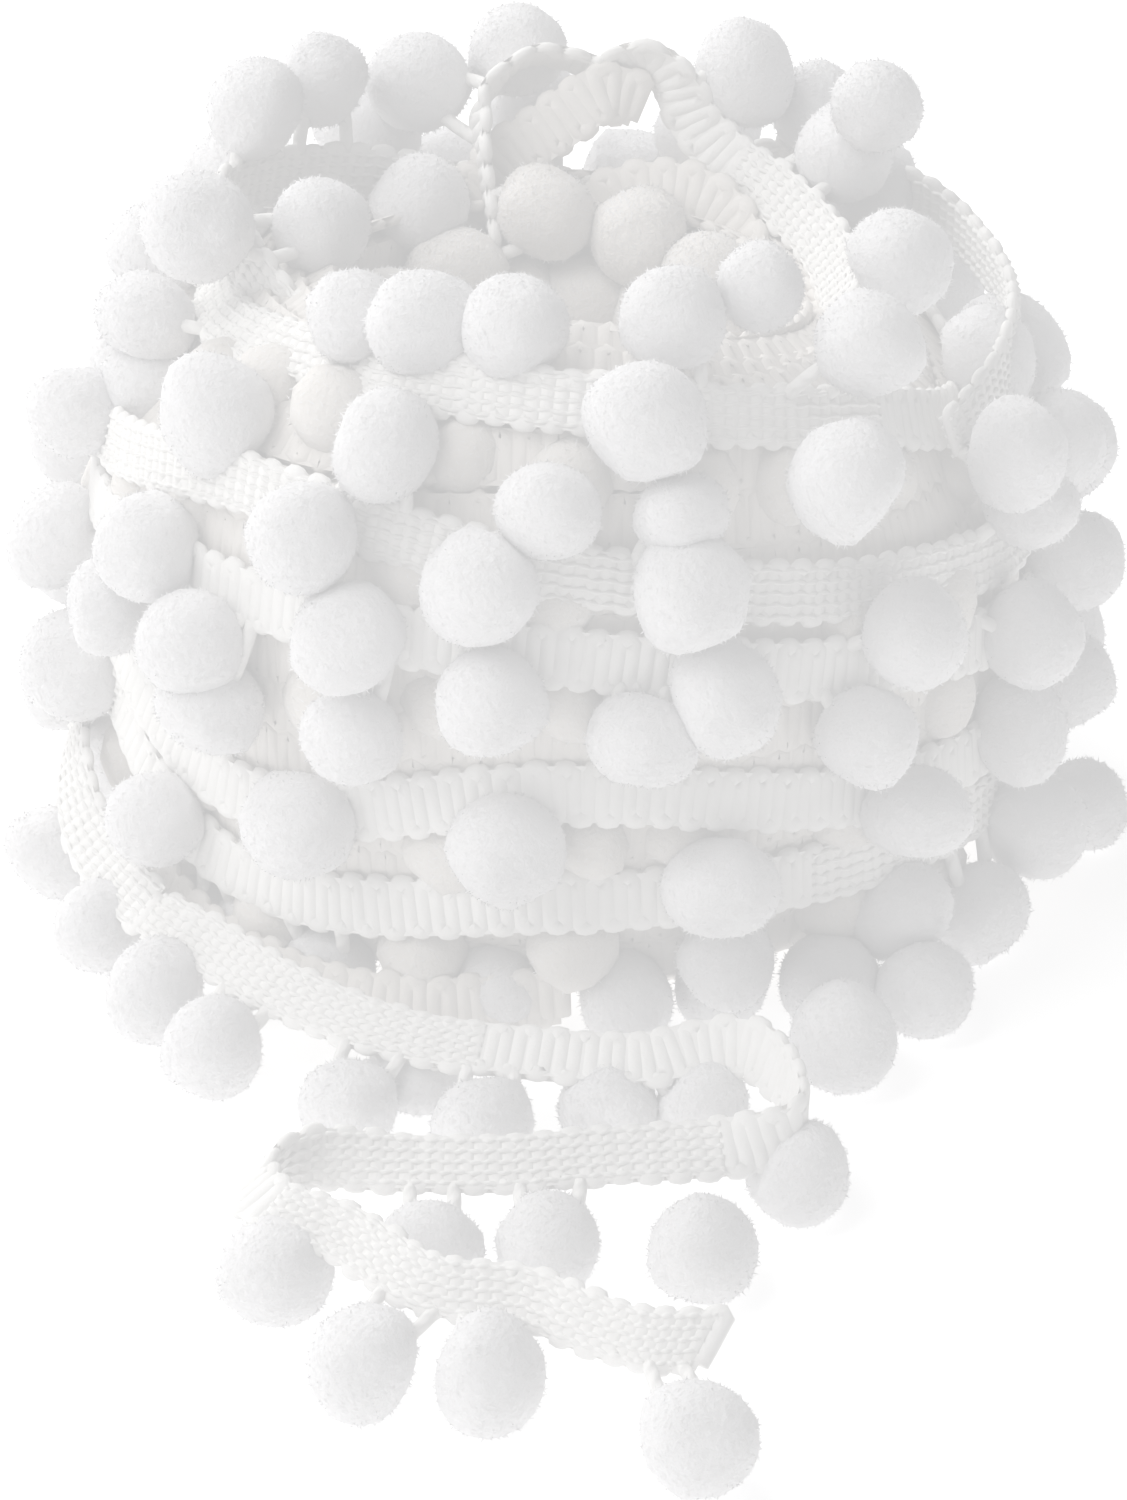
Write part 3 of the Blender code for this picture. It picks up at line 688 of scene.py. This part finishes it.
def add_fibres(ends, centre, form, ways, dice):
    """The fibre ends that stand out of a pompom."""
    count = len(ways)
    ways = unit(ways @ form.turned + dice.normal(size=(count, 3)) * FIBRE_STRAY)
    root = centre + form.surface(ways) * FIBRE_ROOT
    leaning = unit(np.cross(ways, random_ways(dice, count)))
    tilt = unit(ways + leaning * (FIBRE_TILT * dice.uniform(0.5, 1.5, count))[:, None])
    tip = root + tilt * (FIBRE_LENGTH * dice.uniform(0.5, 1.0, count))[:, None]
    aside = np.cross(ways, leaning) * FIBRE_HALF_WIDTH
    corners = np.stack((root + aside, root - aside, tip), axis=1).reshape(-1, 3)
    corners[:, 2] = np.maximum(corners[:, 2], LOWEST)
    ends.add(corners, np.arange(3 * count).reshape(-1, 3), normals=np.repeat(ways, 3, axis=0))


def add_pompom(shape, ends, centre, across, dice, pile=SHOWN_PILE):
    """A dense ball of cut pile, with its surface in shape and its fibre ends in ends."""
    form = PompomForm(across, dice)
    points = centre + form.surface(pile.points)
    points[:, 2] = np.maximum(points[:, 2], LOWEST)
    shape.add(points, pile.faces)
    add_fibres(ends, centre, form, pile.ways, dice)


def nearest_edge(centre, tapes, edges):
    """How far off the nearest edge is, its tape, which edge it is, and the distance along it."""
    best = None
    for tape in tapes:
        for edge in edges:
            line = tape.middle + tape.across * edge * (RIB_HALF + LOOP_REACH)
            away = np.linalg.norm(line - centre, axis=1)
            nearest = int(np.argmin(away))
            if best is None or away[nearest] < best[0]:
                best = (away[nearest], tape, edge, tape.marks[nearest])
    return best


def add_cords(shape, centre, across, tapes, dice, edges=(-1, 1)):
    """The two cords from a pompom to the nearest edge of the nearest tape, unless that is far off:
    those of the turns underneath are out of sight."""
    distance, tape, edge, mark = nearest_edge(centre, tapes, edges)
    if distance > CORD_LONGEST:
        return
    for way in (-1, 1):
        end_mark = mark + way * CORD_SPREAD * dice.uniform(*CORD_SPREAD_VARIES)
        end_mark = np.clip(end_mark, CORD_FROM_END, tape.length - CORD_FROM_END)
        end = tape.at([end_mark], edge * RIB_HALF, 0.0)[0]
        along = unit(tape.at([end_mark + 1], 0, 0)[0] - tape.at([end_mark - 1], 0, 0)[0])
        towards = unit(end - centre)
        start = centre + towards * across / 2 * CORD_INTO_POMPOM + along * way * CORD_APART
        middle = (start + end) / 2 + along * way * CORD_BOWS + UP * CORD_RISES
        share = np.linspace(0, 1, CORD_STEPS)[:, None]
        line = start * (1 - share) ** 2 + 2 * middle * share * (1 - share) + end * share ** 2
        aside = np.broadcast_to(unit(np.cross(towards, along)), line.shape)
        shape.tube(line, aside, CORD_RADIUS, CORD_SIDES)


def ball_pompoms(dice):
    """Each pompom on the ball above the floor: its row, its middle and its size."""
    for row in ROWS:
        for azimuth, height, across in row.shown:
            yield row.name, polar(azimuth, row.reach, height), across
        if row.behind is None:
            continue
        first, last, count, height = row.behind
        for k in range(count):
            azimuth = first + (last - first) * k / (count - 1) + dice.uniform(-1, 1) * STRAY.azimuth
            across = POMPOM_ACROSS * (1 + POMPOM_VARIES * dice.uniform(-1, 1))
            reach = row.reach + dice.uniform(-1, 1) * STRAY.reach
            yield row.name, polar(azimuth, reach, height + dice.uniform(-1, 1) * STRAY.height), across


def deep_pompoms(dice):
    """The pompoms between the outer turns: their middles and sizes."""
    for gap in range(len(TURNS)):
        for k in range(DEEP.count):
            azimuth = 360 * (k + dice.uniform(-DEEP_SHIFT, DEEP_SHIFT)) / DEEP.count
            above = turn_values(TURNS[gap], azimuth)
            below = turn_values(TURNS[gap - 1], azimuth) if gap else (above[0], DEEP_FOOT, 0)
            stray = dice.uniform(-DEEP_STRAY.height, DEEP_STRAY.height)
            height = max((above[1] + below[1]) / 2 + stray, DEEP.lowest)
            stray = dice.uniform(-DEEP_STRAY.reach, DEEP_STRAY.reach)
            reach = (above[0] + below[0]) / 2 - DEEP.inwards + stray
            yield polar(azimuth, reach, height), DEEP.across * dice.uniform(*DEEP_SIZES)


def on_floor(place):
    return np.array((place.x, place.y, place.across / 2 * FLOOR_SINK))


def new_material(name, roughness):
    """A material, its node tree and its shader."""
    material = bpy.data.materials.new(name)
    material.use_nodes = True
    tree = material.node_tree
    shader = tree.nodes["Principled BSDF"]
    shader.inputs["Roughness"].default_value = roughness
    shader.inputs["Specular IOR Level"].default_value = 0.2
    return material, tree, shader


def add_noise(tree, coordinates, grain):
    noise = tree.nodes.new("ShaderNodeTexNoise")
    noise.inputs["Scale"].default_value = grain.scale
    noise.inputs["Detail"].default_value = grain.detail
    tree.links.new(coordinates, noise.inputs["Vector"])
    return noise.outputs["Fac"]


def add_tint(tree, shader, amount, shades):
    """Colours the surface between two shades."""
    ramp = tree.nodes.new("ShaderNodeValToRGB")
    for element, position, shade in zip(ramp.color_ramp.elements, TINT_BETWEEN, shades):
        element.position = position
        element.color = (*shade, 1)
    tree.links.new(amount, ramp.inputs["Fac"])
    tree.links.new(ramp.outputs["Color"], shader.inputs["Base Color"])


def add_bump(tree, shader, height, bumps, below=None):
    bump = tree.nodes.new("ShaderNodeBump")
    bump.inputs["Strength"].default_value = bumps.strength
    bump.inputs["Distance"].default_value = bumps.depth * MM
    tree.links.new(height, bump.inputs["Height"])
    if below is not None:
        tree.links.new(below, bump.inputs["Normal"])
    tree.links.new(bump.outputs["Normal"], shader.inputs["Normal"])
    return bump.outputs["Normal"]


def soften(shader, weight, depth):
    """Light that passes a short way through the yarn."""
    shader.inputs["Subsurface Weight"].default_value = weight
    shader.inputs["Subsurface Radius"].default_value = (1.0, 0.95, 0.9)
    shader.inputs["Subsurface Scale"].default_value = depth * MM


def pile_material(name, shades):
    material, tree, shader = new_material(name, 1.0)
    place = tree.nodes.new("ShaderNodeTexCoord").outputs["Object"]
    add_tint(tree, shader, add_noise(tree, place, PILE_TINT), shades)
    tufts = add_bump(tree, shader, add_noise(tree, place, PILE_TUFTS), PILE_TUFT_BUMPS)
    add_bump(tree, shader, add_noise(tree, place, PILE_FIBRES), PILE_FIBRE_BUMPS, below=tufts)
    soften(shader, PILE_SOFTNESS, PILE_SOFT_DEPTH)
    return material


def fibre_material(name):
    """The loose ends of the pile."""
    material, tree, shader = new_material(name, 1.0)
    place = tree.nodes.new("ShaderNodeTexCoord").outputs["Object"]
    add_tint(tree, shader, add_noise(tree, place, FIBRE_TINT), FIBRE_SHADES)
    return material


def add_plies(tree, shader, uv, below):
    """The twisted plies of a cord, as a wave that winds around it."""
    nodes, links = tree.nodes, tree.links
    parts = nodes.new("ShaderNodeSeparateXYZ")
    links.new(uv, parts.inputs["Vector"])
    turns = nodes.new("ShaderNodeMath")
    turns.operation = "MULTIPLY_ADD"
    turns.inputs[1].default_value = 2 * math.pi / CORD_TWIST
    links.new(parts.outputs["X"], turns.inputs[0])
    plies = nodes.new("ShaderNodeMath")
    plies.operation = "MULTIPLY"
    plies.inputs[1].default_value = 2 * math.pi * PLIES
    links.new(parts.outputs["Y"], plies.inputs[0])
    links.new(plies.outputs["Value"], turns.inputs[2])
    wave = nodes.new("ShaderNodeMath")
    wave.operation = "SINE"
    links.new(turns.outputs["Value"], wave.inputs[0])
    add_bump(tree, shader, wave.outputs["Value"], PLY_BUMPS, below=below)


def yarn_material(name, shades, twisted=False):
    """Soft white yarn, with its fibres along the cord."""
    material, tree, shader = new_material(name, 0.95)
    place = tree.nodes.new("ShaderNodeTexCoord")
    add_tint(tree, shader, add_noise(tree, place.outputs["Object"], YARN_TINT), shades)
    stretch = tree.nodes.new("ShaderNodeMapping")
    stretch.inputs["Scale"].default_value = YARN_STRETCH
    tree.links.new(place.outputs["UV"], stretch.inputs["Vector"])
    noise = add_noise(tree, stretch.outputs["Vector"], YARN_FIBRES)
    fibres = add_bump(tree, shader, noise, YARN_FIBRE_BUMPS)
    if twisted:
        add_plies(tree, shader, place.outputs["UV"], fibres)
    return material


# Painted shade: the core and the tape's ground between the ribs take the darker, warmer inner shades
def painted_shade_ground_material(name):
    material, tree, shader = new_material(name, 1.0)
    place = tree.nodes.new("ShaderNodeTexCoord").outputs["Object"]
    add_tint(tree, shader, add_noise(tree, place, GROUND_TINT), INNER_PAINTED_SHADE)
    add_bump(tree, shader, add_noise(tree, place, GROUND_GRAIN), GROUND_BUMPS)
    return material


# The inner pile, the inner yarn and the ground are coloured in painted shade
Materials = namedtuple("Materials", "pile inner_pile ends yarn inner_yarn cord ground")


def finish_piece(piece, node=None):
    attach(piece, "root")
    if node:
        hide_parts(node)
    return piece


def make_tape(name, tape, stitched, detail, materials):
    """A tape's ground strip, ribs and stitches. Returns the strip and the pieces on it."""
    strip, ribs, stitches = Shape(), Shape(), Shape()
    add_strip(strip, tape)
    add_ribs(ribs, tape, detail)
    add_stitches(stitches, tape, stitched, detail)
    made = finish_piece(strip.as_object(name, materials.ground))
    on_it = [finish_piece(ribs.as_object(name + "_ribs", materials.yarn))]
    if stitches.count:
        on_it.append(finish_piece(stitches.as_object(name + "_stitches", materials.yarn)))
    return made, on_it


def declare(strip, tape, on_it):
    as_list(on_it)


class Pompoms:
    """The pompoms of one group: their surfaces and their fibre ends, as two pieces."""

    def __init__(self, name):
        self.name, self.surfaces, self.ends = name, Shape(), Shape()

    def add(self, centre, across, dice, pile=SHOWN_PILE):
        add_pompom(self.surfaces, self.ends, centre, across, dice, pile)

    def finished(self, surface, ends, slot):
        return [finish_piece(self.surfaces.as_object(self.name, surface)),
                finish_piece(self.ends.as_object(self.name + "_pile", ends))]


def make_core(materials):
    """The closed core and the turns underneath."""
    skin = Shape()
    add_skin(skin)
    # The core and the turns underneath are coloured in painted shade
    finish_piece(skin.as_object("wound_core", materials.ground), "wound_roll")
    for name, tape in (("under_turns", under_tape()), ("hollow_turns", hollow_tape()),
                       ("rim_top_turns", rim_top_tape())):
        ribs = Shape()
        add_ribs(ribs, tape, HIDDEN)
        finish_piece(ribs.as_object(name, materials.inner_yarn))


def ball_tapes():
    """Each tape on the ball by its name, with its stitched stretches."""
    leaving, _ = last_tapes()
    tapes = {"wound_tape": (wound_tape(), WOUND_STITCHED),
             "leaving_tape": (leaving, (Stitched(0.0, 1.0, 1),))}
    for stretch in (*RIM_STRETCHES, FOOT_STRETCH):
        faces = [Stitched(0.0, stretch.stitched, side) for side in (1, -1)]
        tapes[stretch.name] = (stretch_tape(stretch.rows), faces)
    return tapes


def make_ball_pompoms(tapes, materials):
    """The pompoms of the ball and their cords. Returns the pieces."""
    dice = np.random.default_rng(SEED)
    cords = Shape()
    groups = {name: Pompoms(name) for name in (*GROUPS, "foot_pompoms", "deep_pompoms")}
    outer = [tape for tape, _ in tapes.values()]
    for row, centre, across in ball_pompoms(dice):
        group = next(name for name, rows in GROUPS.items() if row in rows)
        groups[group].add(centre, across, dice)
        add_cords(cords, centre, across, outer, dice)
    for places, tape, edges in ((FOOT_POMPOMS, "wound_tape", (-1, 1)),
                                (LEAVING_POMPOMS, "leaving_tape", (-1,))):
        for place in places:
            groups["foot_pompoms"].add(on_floor(place), place.across, dice)
            add_cords(cords, on_floor(place), place.across, (tapes[tape][0],), dice, edges)
    for centre, across in deep_pompoms(dice):
        groups["deep_pompoms"].add(centre, across, dice, DEEP_PILE)
    pieces = [finish_piece(cords.as_object("ball_cords", materials.cord))]
    for name, group in groups.items():
        # The pompoms inside the ball and between its turns are coloured in painted shade
        pile = materials.inner_pile if name in PAINTED_SHADE_GROUPS else materials.pile
        pieces += group.finished(pile, materials.ends, "wound_yarn")
    return pieces


def make_ball(materials):
    make_core(materials)
    tapes = ball_tapes()
    strips = {}
    for name, (tape, stitched) in tapes.items():
        # The inner tapes take the yarn that is coloured in painted shade
        chosen = materials._replace(yarn=materials.inner_yarn) if name in PAINTED_SHADE_TAPES else materials
        strips[name] = make_tape(name, tape, stitched, WOUND, chosen)
    pompoms = make_ball_pompoms(tapes, materials)
    for name, (strip, on_it) in strips.items():
        extra = pompoms if name == "wound_tape" else []
        declare(strip, tapes[name][0], on_it + extra)


def make_loose_end(materials):
    dice = np.random.default_rng(SEED + 1)
    _, loose = last_tapes()
    loose.slant = CUT_SLANT
    strip, on_it = make_tape("end_tape", loose, END_STITCHED, NEAR, materials)
    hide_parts("loose_end")
    pompoms, cords = Pompoms("end_pompoms"), Shape()
    for place in END_POMPOMS:
        pompoms.add(on_floor(place), place.across, dice)
        add_cords(cords, on_floor(place), place.across, (loose,), dice, edges=(-1,))
    on_it += pompoms.finished(materials.pile, materials.ends, "loose_yarn")
    on_it.append(finish_piece(cords.as_object("end_cords", materials.cord)))
    declare(strip, loose, on_it)


def make_floor():
    corners = [(x * FLOOR_HALF, y * FLOOR_HALF, 0) for x, y in ((-1, -1), (1, -1), (1, 1), (-1, 1))]
    mesh = bpy.data.meshes.new("floor")
    mesh.from_pydata(corners, [], [(0, 1, 2, 3)])
    material, tree, shader = new_material("pale floor", 0.9)
    place = tree.nodes.new("ShaderNodeTexCoord").outputs["Object"]
    add_tint(tree, shader, add_noise(tree, place, FLOOR_TINT), FLOOR_SHADES)
    shader.inputs["Emission Color"].default_value = (1.0, 1.0, 1.0, 1)
    shader.inputs["Emission Strength"].default_value = FLOOR_GLOW
    mesh.materials.append(material)
    floor = bpy.data.objects.new("floor", mesh)
    bpy.context.scene.collection.objects.link(floor)


def aim(thing, target):
    thing.rotation_euler = (Vector(target) - thing.location).to_track_quat("-Z", "Y").to_euler()


def make_camera():
    data = bpy.data.cameras.new("camera")
    data.sensor_fit = "VERTICAL"
    data.sensor_height = FRAME_HEIGHT
    data.lens = LENS
    camera = bpy.data.objects.new("camera", data)
    bpy.context.scene.collection.objects.link(camera)
    target = (TARGET + BALL_AXIS) * MM
    rise = math.radians(ELEVATION)
    back = np.array((0.0, -math.cos(rise), math.sin(rise)))
    camera.location = target + back * DISTANCE * MM
    aim(camera, target)
    bpy.context.scene.camera = camera


def add_light(softbox):
    data = bpy.data.lights.new(softbox.name, "AREA")
    data.shape = "DISK"
    data.size = softbox.size
    data.energy = softbox.power
    light = bpy.data.objects.new(softbox.name, data)
    light.location = softbox.place
    bpy.context.scene.collection.objects.link(light)
    aim(light, LIT_PLACE)


def make_room():
    """The room's light, which falls off from left to right."""
    world = bpy.data.worlds.new("studio")
    world.use_nodes = True
    nodes, links = world.node_tree.nodes, world.node_tree.links
    halved = nodes.new("ShaderNodeMapping")
    halved.inputs["Location"].default_value = (0.5, 0.0, 0.0)
    halved.inputs["Scale"].default_value = (0.5, 0.5, 0.5)
    links.new(nodes.new("ShaderNodeTexCoord").outputs["Generated"], halved.inputs["Vector"])
    from_left = nodes.new("ShaderNodeTexGradient")
    links.new(halved.outputs["Vector"], from_left.inputs["Vector"])
    ramp = nodes.new("ShaderNodeValToRGB")
    for element, level in zip(ramp.color_ramp.elements, ROOM_LIGHT):
        element.color = (level, level, level, 1)
    links.new(from_left.outputs["Fac"], ramp.inputs["Fac"])
    links.new(ramp.outputs["Color"], nodes["Background"].inputs["Color"])
    bpy.context.scene.world = world


def set_exposure():
    view = bpy.context.scene.view_settings
    view.view_transform = "Standard"
    view.use_curve_mapping = True
    view.curve_mapping.curves[3].points[0].location = (0.0, SHADE_LIFT)
    view.curve_mapping.update()


def main():
    make_camera()
    make_room()
    for softbox in SOFTBOXES:
        add_light(softbox)
    set_exposure()
    make_floor()
    made = Materials(
        pile=pile_material("pompom pile", PILE_SHADES),
        inner_pile=pile_material("inner pile", INNER_PAINTED_SHADE),
        ends=fibre_material("pile ends"), yarn=yarn_material("tape yarn", YARN_SHADES),
        inner_yarn=yarn_material("inner yarn", INNER_PAINTED_SHADE),
        cord=yarn_material("cord yarn", YARN_SHADES, twisted=True), ground=painted_shade_ground_material("painted shade ground"))
    make_ball(made)
    make_loose_end(made)


main()
bpy.context.view_layer.update()
